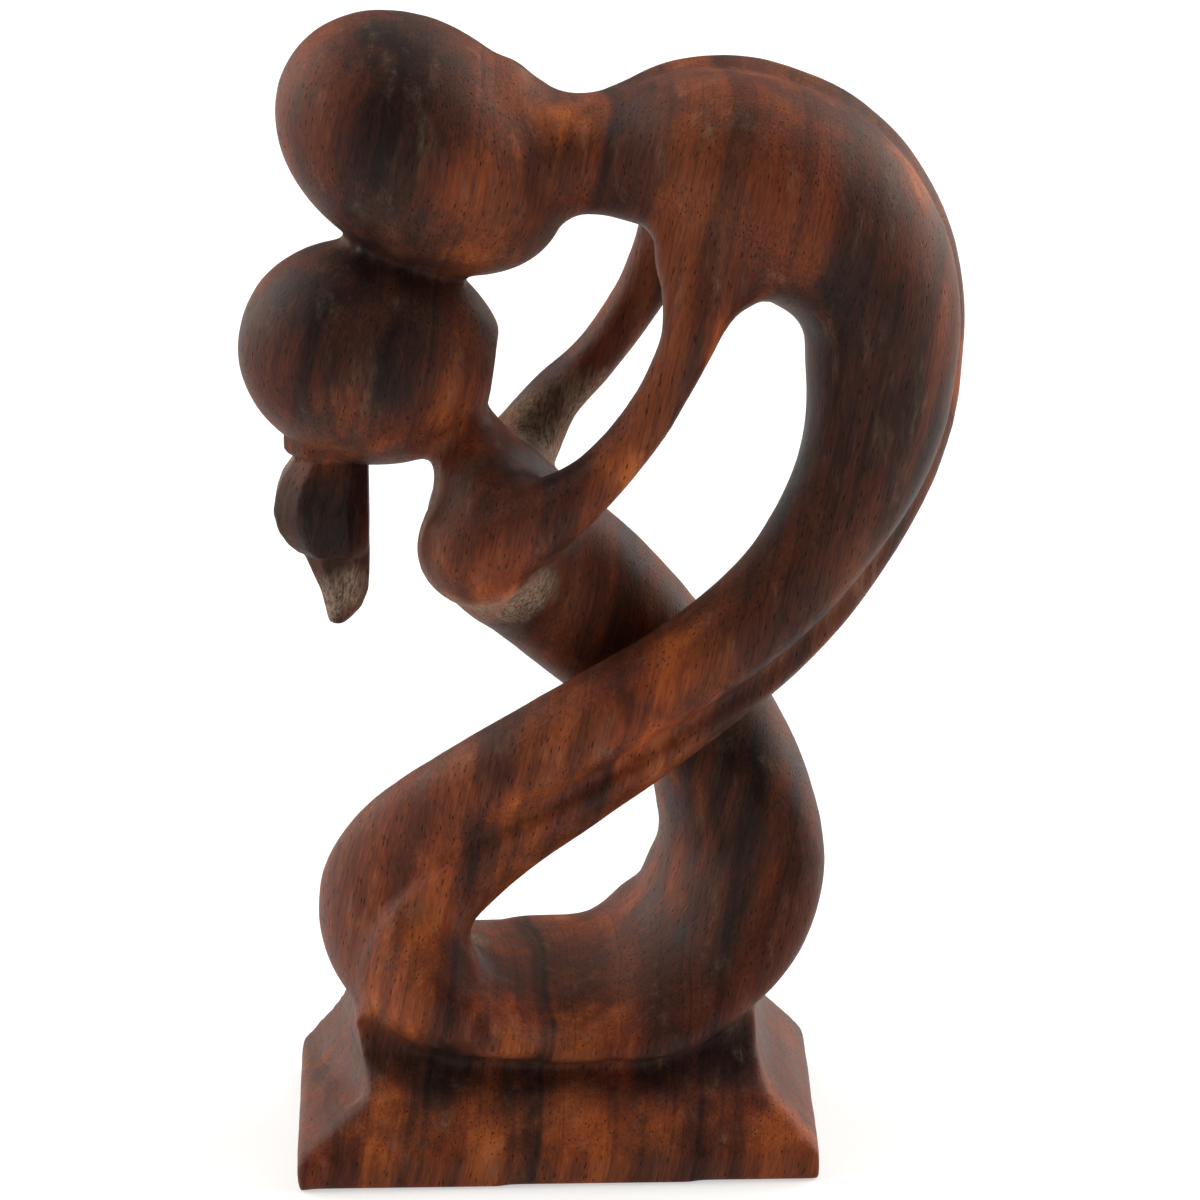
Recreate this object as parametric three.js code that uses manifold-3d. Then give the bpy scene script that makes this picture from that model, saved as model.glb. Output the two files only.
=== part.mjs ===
// A carved wooden figure of an embracing couple on a bevelled base, all one piece of wood.
// Millimetres, +Z up. The couple stands in the XZ plane, seen from -Y, and the origin is the
// middle of the underside. The taller figure bends over from the right, his back runs down in
// front of the smaller figure, and the two end in one ring of legs.
import * as THREE from 'three';
import { mergeVertices } from 'three/addons/utils/BufferGeometryUtils.js';
import Module from 'manifold-3d';

const wasm = await Module();
wasm.setup();

// The base as levels from the underside up: a straight foot, a steep bevel, and a narrower
// neck with hollowed sides. Each level has a front and a back edge at y, from left to right.
const BASE_LEVELS = [
  { z: 0, front: { y: -28.7, left: -45.4, right: 45 }, back: { y: 28.2, left: -46.4, right: 46 } },
  { z: 5.7, front: { y: -28.7, left: -45.4, right: 45 }, back: { y: 28.2, left: -46.4, right: 46 } },
  { z: 14.2, front: { y: -22, left: -33, right: 36.3 }, back: { y: 24.5, left: -40, right: 38.6 } },
  { z: 16.2, front: { y: -18.8, left: -33, right: 35.4 }, back: { y: 22.4, left: -39, right: 37.6 } },
  { z: 20, front: { y: -16, left: -34, right: 34.6 }, back: { y: 19.5, left: -37.2, right: 36.6 } },
  { z: 26.5, front: { y: -15, left: -35.3, right: 34.4 }, back: { y: 18.5, left: -36.8, right: 35.6 } },
];
// How much farther back the base's edges run for each millimetre to the right
const BASE_SKEW = 0.03;
// The round hollow in the top of the neck that the ring of legs lies in
const SEAT = { x: 1, z: 62, radius: 40, length: 80, sides: 48 };

// Heads are eggs: half length along the tilted axis, half height and depth across it, and how
// much the far end narrows
const TALL_HEAD = { x: -21.9, z: 176.8, length: 26.8, height: 19.6, depth: 19.5, tilt: -36, taper: 0.06 };
const SMALL_HEAD = { x: -31.2, z: 141.3, length: 22.7, height: 19.2, depth: 18, tilt: -12, taper: 0.05 };

// Flats on the side of the smaller head that faces the bodies: a place on each, and the way it
// faces in degrees above the horizontal
const HEAD_FLATS = [{ x: -9.3, z: 145.5, facing: -10 }, { x: -12.6, z: 151.6, facing: 31 }];

// Bodies and limbs are stations along a centre line (x, y, z). half is the half thickness that
// the front view shows and ratio the section's width to its thickness. turn says where the back
// faces, in degrees from the line's left side (0) through the front (90) to its right side
// (180). groove is the depth of the line down the middle of the back.
const TALL_BODY = [
  { x: -22, y: 0, z: 178, half: 11, ratio: 1 },
  { x: -12, y: 0, z: 178.4, half: 14, ratio: 1 },
  { x: -7, y: 0, z: 177.6, half: 12.6, ratio: 1 },
  { x: -2, y: 0, z: 176, half: 11, ratio: 1.05 },
  { x: 6, y: 0, z: 175.4, half: 10.1, ratio: 1.15, groove: 0.2 },
  { x: 13, y: 0, z: 175.7, half: 12, ratio: 1.3, groove: 0.8 },
  { x: 20.5, y: 0, z: 176, half: 14.9, ratio: 1.38, groove: 1.4 },
  { x: 30.1, y: 0, z: 174.6, half: 16.9, ratio: 1.38, groove: 2 },
  { x: 39.2, y: 0, z: 170, half: 18.3, ratio: 1.31, groove: 2 },
  { x: 46.8, y: 0, z: 164.2, half: 17.7, ratio: 1.31, turn: 1, groove: 2 },
  { x: 52.6, y: 0, z: 157, half: 15.8, ratio: 1.38, turn: 2, groove: 2 },
  { x: 55.6, y: 0, z: 149, half: 14.3, ratio: 1.48, turn: 4, groove: 2 },
  { x: 56, y: -0.5, z: 140, half: 13.7, ratio: 1.48, turn: 7, groove: 2 },
  { x: 55.2, y: -1.5, z: 130.2, half: 13, ratio: 1.5, turn: 11, groove: 2 },
  { x: 52.4, y: -3.5, z: 120.7, half: 12.1, ratio: 1.48, turn: 17, groove: 2 },
  { x: 47.3, y: -6, z: 110.9, half: 11.4, ratio: 1.44, turn: 25, groove: 2.6 },
  { x: 40.5, y: -8.8, z: 101.6, half: 11.1, ratio: 1.4, turn: 33, groove: 3.2 },
  { x: 31.5, y: -11, z: 93.1, half: 11.2, ratio: 1.34, turn: 42, groove: 3.6 },
  { x: 21.3, y: -12.3, z: 85.5, half: 11.4, ratio: 1.34, turn: 51, groove: 3.8 },
  { x: 10.9, y: -12.8, z: 78.6, half: 12.1, ratio: 1.34, turn: 60, groove: 3.8 },
  { x: 0.4, y: -12.6, z: 71.6, half: 12.6, ratio: 1.36, turn: 70, groove: 3.6 },
  { x: -9.9, y: -11.6, z: 64.5, half: 12.95, ratio: 1.44, turn: 82, groove: 3.3 },
  { x: -19.2, y: -9.6, z: 57, half: 13.3, ratio: 1.6, turn: 98, groove: 2.7 },
  { x: -25.8, y: -7, z: 49.3, half: 13.1, ratio: 1.8, turn: 120, groove: 2 },
  { x: -28.3, y: -5.6, z: 41.6, half: 13.4, ratio: 1.9, turn: 143, groove: 1.2 },
  { x: -27.4, y: -4.2, z: 34.2, half: 13.2, ratio: 1.9, turn: 160, groove: 0.3 },
  { x: -23.4, y: -2.2, z: 28.4, half: 11.2, ratio: 2.25, turn: 170 },
  { x: -15, y: -0.6, z: 26.1, half: 8.2, ratio: 3.25, turn: 178 },
  { x: -5, y: 0, z: 25.7, half: 6.4, ratio: 4, turn: 184 },
  { x: 4, y: 0, z: 26.1, half: 5.4, ratio: 4, turn: 188 },
];

const SMALL_BODY = [
  { x: -22, y: 0, z: 133, half: 6.5, ratio: 1.25 },
  { x: -15.8, y: 0, z: 127.4, half: 6, ratio: 1.8 },
  { x: -12.8, y: -1, z: 121.5, half: 8.7, ratio: 2 },
  { x: -10.6, y: -1, z: 115, half: 12.3, ratio: 1.6 },
  { x: -7.8, y: 1, z: 108, half: 14.4, ratio: 1.15 },
  { x: -2.6, y: 3.5, z: 103.2, half: 14.4, ratio: 1 },
  { x: 3.9, y: 6, z: 96.9, half: 14.3, ratio: 0.97 },
  { x: 13.2, y: 9, z: 87.2, half: 13.4, ratio: 1.02 },
  { x: 21.5, y: 10.5, z: 78, half: 13, ratio: 1.12, turn: -10 },
  { x: 27.6, y: 10, z: 69.2, half: 12.9, ratio: 1.35, turn: -20 },
  { x: 31, y: 7.5, z: 60, half: 13.8, ratio: 1.7, turn: -27 },
  { x: 32.3, y: 4.5, z: 50.5, half: 14, ratio: 2, turn: -30 },
  { x: 29.6, y: 2, z: 41.5, half: 13.4, ratio: 2.2, turn: -28 },
  { x: 24.1, y: 0.5, z: 34.3, half: 11.4, ratio: 2.7, turn: -23 },
  { x: 16, y: 0, z: 29.1, half: 9.5, ratio: 3.5, turn: -16 },
  { x: 6, y: 0, z: 26.1, half: 7.1, ratio: 4, turn: -12 },
  { x: -6, y: 0, z: 25.8, half: 6.8, ratio: 4.1, turn: -11 },
  { x: -14, y: 0, z: 26.2, half: 5.6, ratio: 4.4, turn: -11 },
];

// Arms from the taller figure's shoulders to the smaller one's, on the front and on the back
const NEAR_ARM = [
  { x: 37, y: -4, z: 173, half: 8, ratio: 1 },
  { x: 30, y: -8, z: 166, half: 12.5, ratio: 0.95 },
  { x: 25.6, y: -13, z: 158, half: 10.3, ratio: 0.86 },
  { x: 23.9, y: -15.8, z: 154, half: 7, ratio: 0.9 },
  { x: 22.7, y: -17.4, z: 150.4, half: 5.4, ratio: 1 },
  { x: 21.6, y: -18, z: 146.8, half: 4.6, ratio: 1.1 },
  { x: 18.8, y: -18, z: 140.8, half: 4.2, ratio: 1.15 },
  { x: 15.5, y: -18, z: 134.8, half: 4.2, ratio: 1.15 },
  { x: 11.1, y: -18, z: 128.8, half: 4.3, ratio: 1.15 },
  { x: 5.9, y: -18, z: 123.2, half: 4.7, ratio: 1.15 },
  { x: -0.5, y: -17.4, z: 118.2, half: 6.2, ratio: 1.05 },
  { x: -7, y: -15.8, z: 114.6, half: 8.2, ratio: 0.95 },
  { x: -13.2, y: -12.2, z: 110.2, half: 10.3, ratio: 0.95 },
  { x: -14.8, y: -5.5, z: 110, half: 9.5, ratio: 0.95 },
];

const FAR_ARM = [
  { x: 32, y: 4, z: 173, half: 8, ratio: 1 },
  { x: 26.5, y: 10.5, z: 166, half: 9, ratio: 0.95 },
  { x: 21.4, y: 15.4, z: 159, half: 7.2, ratio: 0.9 },
  { x: 18.2, y: 17.2, z: 153.2, half: 5.3, ratio: 1 },
  { x: 15.4, y: 18, z: 147.8, half: 4.5, ratio: 1.15 },
  { x: 11.4, y: 18, z: 141.5, half: 4.3, ratio: 1.25 },
  { x: 6.5, y: 18, z: 135.2, half: 4.3, ratio: 1.25 },
  { x: -0.1, y: 18, z: 128.4, half: 5, ratio: 1.15 },
  { x: -4.6, y: 16.6, z: 121.8, half: 6.3, ratio: 1.05 },
  { x: -9, y: 13, z: 116, half: 8, ratio: 0.95 },
  { x: -10.6, y: 6, z: 113, half: 8.5, ratio: 0.95 },
];

// Ponytail under the smaller head: a bound lock, a round lobe and a pointed tail
const PONYTAIL = [
  { x: -39.1, y: 0, z: 130, half: 6.9, ratio: 1.1 },
  { x: -38.9, y: 0, z: 124.8, half: 6.5, ratio: 1.1 },
  { x: -39.5, y: 0, z: 119.5, half: 7.4, ratio: 1.1 },
  { x: -40, y: 0, z: 114.2, half: 8.1, ratio: 1.1 },
  { x: -39.4, y: 0, z: 110, half: 7.5, ratio: 1.1 },
  { x: -38.2, y: 0, z: 107.2, half: 6.3, ratio: 1.1 },
  { x: -37, y: 0, z: 103.6, half: 5.1, ratio: 1.15 },
  { x: -36.4, y: 0, z: 98.6, half: 4, ratio: 1.2 },
  { x: -37.5, y: 0, z: 93.5, half: 1.5, ratio: 1.4 },
];

// How finely each form is faceted
const SIDES = { body: 32, arm: 16, tail: 16, head: 22 };
const RINGS = { tall: 54, small: 38, arm: 20, tail: 12, head: 16 };

// The groove is steep on one side and slopes off gently on the other: how far each side
// reaches, in degrees around the section, and how far its bottom moves off the back's middle
// for each degree that the back has turned
const GROOVE_REACH = { steep: 13, gentle: 36 };
const GROOVE_DRIFT = 0.07;
// How much closer together the facets stand at the groove, as a share
const CROWDING = 0.45;
// The fullness of the sections, which are superellipses: 2 is an ellipse, more is squarer
const FULLNESS = 2.08;

const WOOD = { color: 0x4a2214, roughness: 0.45, metalness: 0 };

const radians = THREE.MathUtils.degToRad;

function toSolid(geometry) {
  geometry.deleteAttribute('normal');
  geometry.deleteAttribute('uv');
  const merged = mergeVertices(geometry, 1e-4);
  return new wasm.Manifold(new wasm.Mesh({
    numProp: 3,
    vertProperties: new Float32Array(merged.attributes.position.array),
    triVerts: new Uint32Array(merged.index.array),
  }));
}

function toGeometry(solid) {
  const mesh = solid.getMesh();
  const geometry = new THREE.BufferGeometry();
  geometry.setAttribute('position', new THREE.BufferAttribute(mesh.vertProperties, 3));
  geometry.setIndex(new THREE.BufferAttribute(mesh.triVerts, 1));
  return geometry;
}

function meshOf(positions, index) {
  const geometry = new THREE.BufferGeometry();
  geometry.setAttribute('position', new THREE.Float32BufferAttribute(positions, 3));
  geometry.setIndex(index);
  return geometry;
}

function signedPower(value, power) {
  return Math.sign(value) * Math.abs(value) ** power;
}

// A smooth curve of up to three named values through the stations
function curveOf(stations, keys) {
  const values = stations.map((s) => {
    const station = { turn: 0, groove: 0, ...s };
    return new THREE.Vector3(...keys.map((key) => station[key]));
  });
  return new THREE.CatmullRomCurve3(values, false, 'centripetal');
}

// Quads between two loops of corners, turned to face away from the line they run along
function bridge(index, low, high, sides) {
  for (let j = 0; j < sides; j += 1) {
    const k = (j + 1) % sides;
    index.push(low + j, low + k, high + k, low + j, high + k, high + j);
  }
}

// How deep the groove is at an angle around a section whose back has turned, both in radians
function grooveCut(angle, turn, depth) {
  const signed = angle > Math.PI ? angle - 2 * Math.PI : angle;
  const off = signed + GROOVE_DRIFT * turn;
  const reach = radians(off < 0 ? GROOVE_REACH.steep : GROOVE_REACH.gentle);
  return depth * Math.max(1 - Math.abs(off) / reach, 0) ** 2;
}

// A closed body through its stations
function limb(stations, rings, sides) {
  const path = curveOf(stations, ['x', 'y', 'z']);
  const sizes = curveOf(stations, ['half', 'ratio', 'turn']);
  const grooves = curveOf(stations, ['groove']);
  const positions = [];
  const index = [];
  for (let i = 0; i <= rings; i += 1) {
    const centre = path.getPoint(i / rings);
    const ahead = path.getTangent(i / rings);
    const { x: half, y: ratio, z: degrees } = sizes.getPoint(i / rings);
    const groove = grooves.getPoint(i / rings).x;
    const turn = radians(degrees);
    const thick = half / Math.hypot(Math.cos(turn), ratio * Math.sin(turn));
    const out = new THREE.Vector3(-ahead.z, 0, ahead.x).normalize();
    const back = out.clone().applyAxisAngle(ahead, turn);
    const side = new THREE.Vector3().crossVectors(ahead, back).normalize();
    for (let j = 0; j < sides; j += 1) {
      const even = (j / sides) * 2 * Math.PI;
      const angle = even - CROWDING * Math.sin(even);
      const deep = signedPower(Math.cos(angle), 2 / FULLNESS) * thick;
      const wide = signedPower(Math.sin(angle), 2 / FULLNESS) * thick * ratio;
      const point = centre.clone().addScaledVector(side, wide);
      point.addScaledVector(back, deep - grooveCut(angle, turn, groove));
      positions.push(point.x, point.y, point.z);
    }
    if (i > 0) bridge(index, (i - 1) * sides, i * sides, sides);
  }
  const last = rings * sides;
  const tip = last + sides;
  positions.push(...path.getPoint(0).toArray(), ...path.getPoint(1).toArray());
  for (let j = 0; j < sides; j += 1) {
    const k = (j + 1) % sides;
    index.push(tip, k, j, tip + 1, last + j, last + k);
  }
  return toSolid(meshOf(positions, index));
}

// A sphere stretched along its own tilted axis and narrowed towards the far end
function head(form) {
  const geometry = new THREE.SphereGeometry(1, SIDES.head, RINGS.head);
  geometry.rotateZ(-Math.PI / 2);
  const corners = geometry.attributes.position;
  for (let i = 0; i < corners.count; i += 1) {
    const along = corners.getX(i);
    const narrow = 1 - form.taper * along;
    corners.setXYZ(
      i,
      along * form.length,
      corners.getY(i) * form.depth * narrow,
      corners.getZ(i) * form.height * narrow,
    );
  }
  geometry.rotateY(radians(-form.tilt));
  geometry.translate(form.x, 0, form.z);
  return toSolid(geometry);
}

// A head less all that lies beyond its flats
function flattened(solid, flats) {
  return flats.reduce((rest, { x, z, facing }) => {
    const out = { x: Math.cos(radians(facing)), z: Math.sin(radians(facing)) };
    return rest.trimByPlane([-out.x, 0, -out.z], -(out.x * x + out.z * z));
  }, solid);
}

// The base through its levels, less the hollow for the ring of legs
function base() {
  const positions = [];
  const index = [];
  const corner = (x, y, z) => positions.push(x, y + BASE_SKEW * x, z);
  BASE_LEVELS.forEach(({ z, front, back }, i) => {
    corner(front.left, front.y, z);
    corner(front.right, front.y, z);
    corner(back.right, back.y, z);
    corner(back.left, back.y, z);
    if (i > 0) bridge(index, (i - 1) * 4, i * 4, 4);
  });
  const top = (BASE_LEVELS.length - 1) * 4;
  index.push(0, 2, 1, 0, 3, 2, top, top + 1, top + 2, top, top + 2, top + 3);
  const seat = new THREE.CylinderGeometry(SEAT.radius, SEAT.radius, SEAT.length, SEAT.sides);
  seat.translate(SEAT.x, 0, SEAT.z);
  return toSolid(meshOf(positions, index)).subtract(toSolid(seat));
}

const carving = [
  limb(TALL_BODY, RINGS.tall, SIDES.body),
  head(TALL_HEAD),
  limb(SMALL_BODY, RINGS.small, SIDES.body),
  flattened(head(SMALL_HEAD), HEAD_FLATS),
  limb(NEAR_ARM, RINGS.arm, SIDES.arm),
  limb(FAR_ARM, RINGS.arm, SIDES.arm),
  limb(PONYTAIL, RINGS.tail, SIDES.tail),
  base(),
].reduce((whole, form) => whole.add(form));

const figure = new THREE.Mesh(toGeometry(carving), new THREE.MeshStandardMaterial(WOOD));
figure.name = 'embracing_couple';

const couple = new THREE.Group();
couple.add(figure);

export default couple;
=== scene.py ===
import math

import bmesh
import bpy
import numpy as np
from mathutils import Matrix, Vector


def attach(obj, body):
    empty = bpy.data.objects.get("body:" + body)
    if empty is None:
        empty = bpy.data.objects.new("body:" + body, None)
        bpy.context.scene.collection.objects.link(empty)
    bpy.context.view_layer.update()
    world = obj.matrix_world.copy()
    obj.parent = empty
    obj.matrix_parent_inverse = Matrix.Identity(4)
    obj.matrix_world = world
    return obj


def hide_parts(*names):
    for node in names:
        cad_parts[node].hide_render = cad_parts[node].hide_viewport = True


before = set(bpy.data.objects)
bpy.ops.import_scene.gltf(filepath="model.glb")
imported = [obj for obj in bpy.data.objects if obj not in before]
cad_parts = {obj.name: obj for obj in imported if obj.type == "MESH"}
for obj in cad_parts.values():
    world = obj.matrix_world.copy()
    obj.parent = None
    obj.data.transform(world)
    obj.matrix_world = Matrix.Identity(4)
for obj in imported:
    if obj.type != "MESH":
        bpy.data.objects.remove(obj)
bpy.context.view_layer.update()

MM = 0.001


# Camera, as the photo was taken: looking down at about 17 degrees from 0.8 m away.

view_data = bpy.data.cameras.new("view")
view_data.lens = 139.2
view_data.sensor_width = 36.0
view_data.clip_start = 0.01
view_data.clip_end = 20.0
view = bpy.data.objects.new("view", view_data)
view.location = (-0.01242, -0.76476, 0.33107)
view.rotation_euler = (math.radians(73.0), 0.0, math.radians(-1.5))
bpy.context.scene.collection.objects.link(view)
bpy.context.scene.camera = view


# The forms of the carving, in millimetres. Bodies and limbs are stations along a centre line:
# x, y, z, half thickness seen from the front, width to thickness, where the back faces in
# degrees from the line's left side (0) through the front (90) to its right side (180), and the
# depth of the groove in the back.

TALL_BODY = [
    (-22, 0, 178, 11, 1, 0, 0),
    (-12, 0, 178.4, 14, 1, 0, 0),
    (-7, 0, 177.1, 12.1, 1, 0, 0),
    (-2, 0, 175.6, 10.6, 1.05, 0, 0),
    (6, 0, 175.4, 10.1, 1.15, 0, 0.2),
    (13, 0, 175.7, 12, 1.3, 0, 0.8),
    (20.5, 0, 176, 14.9, 1.38, 0, 1.4),
    (30.1, 0, 174.6, 16.9, 1.38, 0, 2),
    (39.2, 0, 170, 18.3, 1.31, 0, 2),
    (46.8, 0, 164.2, 17.7, 1.31, 1, 2),
    (52.6, 0, 157, 15.8, 1.38, 2, 2),
    (55.6, 0, 149, 14.3, 1.48, 4, 2),
    (56, -0.5, 140, 13.7, 1.48, 7, 2),
    (55.2, -1.5, 130.2, 13, 1.5, 11, 2),
    (52.4, -3.5, 120.7, 12.1, 1.48, 17, 2),
    (47.3, -6, 110.9, 11.4, 1.44, 25, 2.6),
    (40.5, -8.8, 101.6, 11.1, 1.4, 33, 3.2),
    (31.5, -11, 93.1, 11.2, 1.34, 42, 3.6),
    (21.3, -12.3, 85.5, 11.4, 1.34, 51, 3.8),
    (10.9, -12.8, 78.6, 12.1, 1.34, 60, 3.8),
    (0.4, -12.6, 71.6, 12.6, 1.36, 70, 3.6),
    (-9.9, -11.6, 64.5, 12.95, 1.44, 82, 3.3),
    (-19.2, -9.6, 57, 13.3, 1.6, 98, 2.7),
    (-25.8, -7, 49.3, 13.1, 1.8, 120, 2),
    (-28.3, -5.6, 41.6, 13.4, 1.9, 143, 1.2),
    (-27.4, -4.2, 34.2, 13.2, 1.9, 160, 0.3),
    (-23.4, -2.2, 28.4, 11.2, 2.25, 170, 0),
    (-15, -0.6, 26.1, 8.2, 3.25, 178, 0),
    (-5, 0, 25.7, 6.4, 4, 184, 0),
    (4, 0, 26.1, 5.4, 4, 188, 0),
]
SMALL_BODY = [
    (-22, 0, 133, 6.5, 1.25, 0, 0),
    (-15.8, 0, 127.4, 6, 1.8, 0, 0),
    (-12.8, -1, 121.5, 8.7, 2, 0, 0),
    (-10.6, -1, 115, 12.3, 1.6, 0, 0),
    (-7.8, 1, 108, 14.4, 1.15, 0, 0),
    (-2.6, 3.5, 103.2, 14.4, 1, 0, 0),
    (3.9, 6, 96.9, 14.3, 0.97, 0, 0),
    (13.2, 9, 87.2, 13.4, 1.02, 0, 0),
    (21.5, 10.5, 78, 13, 1.12, -10, 0),
    (27.6, 10, 69.2, 12.9, 1.35, -20, 0),
    (31, 7.5, 60, 13.8, 1.7, -27, 0),
    (32.3, 4.5, 50.5, 14, 2, -30, 0),
    (29.6, 2, 41.5, 13.4, 2.2, -28, 0),
    (24.1, 0.5, 34.3, 11.4, 2.7, -23, 0),
    (16, 0, 29.1, 9.5, 3.5, -16, 0),
    (6, 0, 26.1, 7.1, 4, -12, 0),
    (-6, 0, 25.8, 6.8, 4.1, -11, 0),
    (-14, 0, 26.2, 5.6, 4.4, -11, 0),
]
NEAR_ARM = [
    (37, -4, 173, 8, 1, 0, 0),
    (30, -8, 166, 12.5, 0.95, 0, 0),
    (25.6, -13, 158, 10.3, 0.86, 0, 0),
    (23.9, -15.8, 154, 7, 0.9, 0, 0),
    (22.7, -17.4, 150.4, 5.4, 1, 0, 0),
    (21.6, -18, 146.8, 4.6, 1.1, 0, 0),
    (18.8, -18, 140.8, 4.2, 1.15, 0, 0),
    (15.5, -18, 134.8, 4.2, 1.15, 0, 0),
    (11.1, -18, 128.8, 4.3, 1.15, 0, 0),
    (5.9, -18, 123.2, 4.7, 1.15, 0, 0),
    (-0.5, -17.4, 118.2, 6.2, 1.05, 0, 0),
    (-7, -15.8, 114.6, 8.2, 0.95, 0, 0),
    (-13.2, -12.2, 110.2, 10.3, 0.95, 0, 0),
    (-14.8, -5.5, 110, 9.5, 0.95, 0, 0),
]
FAR_ARM = [
    (32, 4, 173, 8, 1, 0, 0),
    (26.5, 10.5, 166, 9, 0.95, 0, 0),
    (21.4, 15.4, 159, 7.2, 0.9, 0, 0),
    (18.2, 17.2, 153.2, 5.3, 1, 0, 0),
    (15.4, 18, 147.8, 4.5, 1.15, 0, 0),
    (11.4, 18, 141.5, 4.3, 1.25, 0, 0),
    (6.5, 18, 135.2, 4.3, 1.25, 0, 0),
    (-0.1, 18, 128.4, 5, 1.15, 0, 0),
    (-4.6, 16.6, 121.8, 6.3, 1.05, 0, 0),
    (-9, 13, 116, 8, 0.95, 0, 0),
    (-10.6, 6, 113, 8.5, 0.95, 0, 0),
]
# The ponytail's pieces, each as levels: z, left, right, half depth. A bound collar under the
# head, a lobe and a cut wedge.
COLLAR = [
    (132, -45.6, -32.6, 7.4), (127.5, -46.2, -32.2, 7.6), (125.4, -46.2, -32.3, 7.4),
    (124.3, -45.4, -32.6, 7),
]
LOBE = [
    (127, -43.6, -32.2, 6), (124.4, -44, -32, 6.4), (122.6, -45, -31.9, 7),
    (120.2, -46.7, -31.9, 7.6), (117.3, -47.7, -31.9, 8), (114.2, -48.2, -31.9, 8.3),
    (110.9, -47.4, -31.9, 8.1), (108.4, -45.8, -32, 7.5), (106.8, -43.9, -32.3, 6.7),
]
TAIL_WEDGE = [
    (111, -43.1, -32, 5.2), (106.4, -43.1, -31.9, 5.2), (103, -41.7, -32, 4.9),
    (99.9, -40.4, -32.2, 4.4), (96.8, -39.7, -33.4, 3.5), (94.8, -39.3, -35.2, 2.6),
    (93.7, -39, -36.5, 1.9),
]
# Corners of the ponytail's section: share of the way from left to right, and of the depth.
TAIL_CORNERS = [
    (0, -0.42), (0.27, -1), (0.78, -1), (1, -0.45), (1, 0.45), (0.78, 1), (0.27, 1), (0, 0.42),
]
# Heads: x, z, half length, half height, half depth, tilt and how much the far end narrows.
TALL_HEAD = (-21.9, 176.8, 26.8, 19.6, 20, -36, 0.06)
SMALL_HEAD = (-31, 141.3, 22.9, 19.2, 18, -12, 0.05)
# Flats on the side of the smaller head that faces the bodies: x, z and the way each faces in
# degrees above the horizontal.
HEAD_FLATS = [(-9.3, 145.5, -10), (-12.6, 151.6, 31)]
# Base levels: height, then y, left and right of the front edge and of the back edge.
BASE_LEVELS = [
    (0, -28.7, -45.4, 45, 28.2, -46.4, 46),
    (5.7, -28.7, -45.4, 45, 28.2, -46.4, 46),
    (14.2, -22, -33, 36.3, 24.5, -40, 38.6),
    (16.2, -18.8, -33, 35.4, 22.4, -39, 37.6),
    (20, -16, -34, 34.6, 19.5, -37.2, 36.6),
    (26.5, -15, -35.3, 34.4, 18.5, -36.8, 35.6),
]
# How far the base is out of square: y for each x.
BASE_SKEW = 0.03
# The round hollow in the base that the ring of legs lies in: x, z and radius of the gouge that
# cuts it. Then the gouge's length, in metres, and how many sides it has.
SEAT = (1, 62, 40)
GOUGE_LENGTH = 0.08
GOUGE_SIDES = 128
# The groove is steep on one side and gentle on the other, and drifts off the back's middle.
GROOVE_STEEP = math.radians(13)
GROOVE_GENTLE = math.radians(36)
GROOVE_DRIFT = 0.07
# How much closer together a section's corners stand at the back than at the front.
CROWDING = 0.45
# How full the sections are: 2 is an ellipse, and more is squarer.
FULLNESS = 2.08
# Rings along each limb and corners around it, and segments around and along the heads.
TALL_BODY_RINGS = (220, 72)
SMALL_BODY_RINGS = (140, 64)
NEAR_ARM_RINGS = (90, 40)
FAR_ARM_RINGS = (80, 40)
HEAD_SEGMENTS = (96, 64)

# Facet sizes of the skins, in metres.
BODY_GRAIN = 0.001
TAIL_GRAIN = 0.00048
# Rounds of smoothing: to find the hollow lines, in the joins, at the foot, all over the figure,
# and on the ponytail.
FEEL_ROUNDS = 19
JOIN_ROUNDS = 155
FOOT_ROUNDS = 11
FIGURE_ROUNDS = 3
TAIL_ROUNDS = 4
# Where the foot's smoothing ends, how softly, and how high above the floor the knife's waves have
# their full height, in millimetres.
FOOT_TOP = 18
FOOT_FADE = 4
WAVES_START = 4
# The knife's waves: size and height in metres, and which tone leaves the surface as it is.
WAVE_SIZE = 0.011
WAVE_HEIGHT = 0.0003
WAVE_MIDDLE = 0.7
# How strongly the joins are smoothed where the surface is flat or bulges, and how hollow it is, in
# millimetres, for one more full share.
FLAT_SHARE = 0.12
BULGE_SHARE = 0.06
HOLLOW_DEPTH = 0.08
# Strength in the middle of a join, cut off at 1 so that the middle is even.
JOIN_STRENGTH = 1.6
# Weights of a vertex group go in this many steps.
WEIGHT_STEPS = 20

# Where forms run into each other softly: x, y, z, how far around, and how strongly.
JOINS = [
    (-8, 0, 184, 26, 1.0),
    (0, 0, 166, 13, 1.0),
    (16, -11, 162, 11, 1.0),
    (29, -14, 160, 16, 1.0),
    (22, 14, 161, 15, 1.0),
    (36, -4, 152, 13, 1.0),
    (-9, -13, 119, 19, 1.0),
    (-2, 13, 122, 13, 1.0),
    (-16, 0, 127, 8, 0.5),
    (0, 0, 28, 22, 1.0),
    (-14, -16, 32, 16, 1.0),
    (13.5, 9, 45, 16, 1.0),
]


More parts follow.
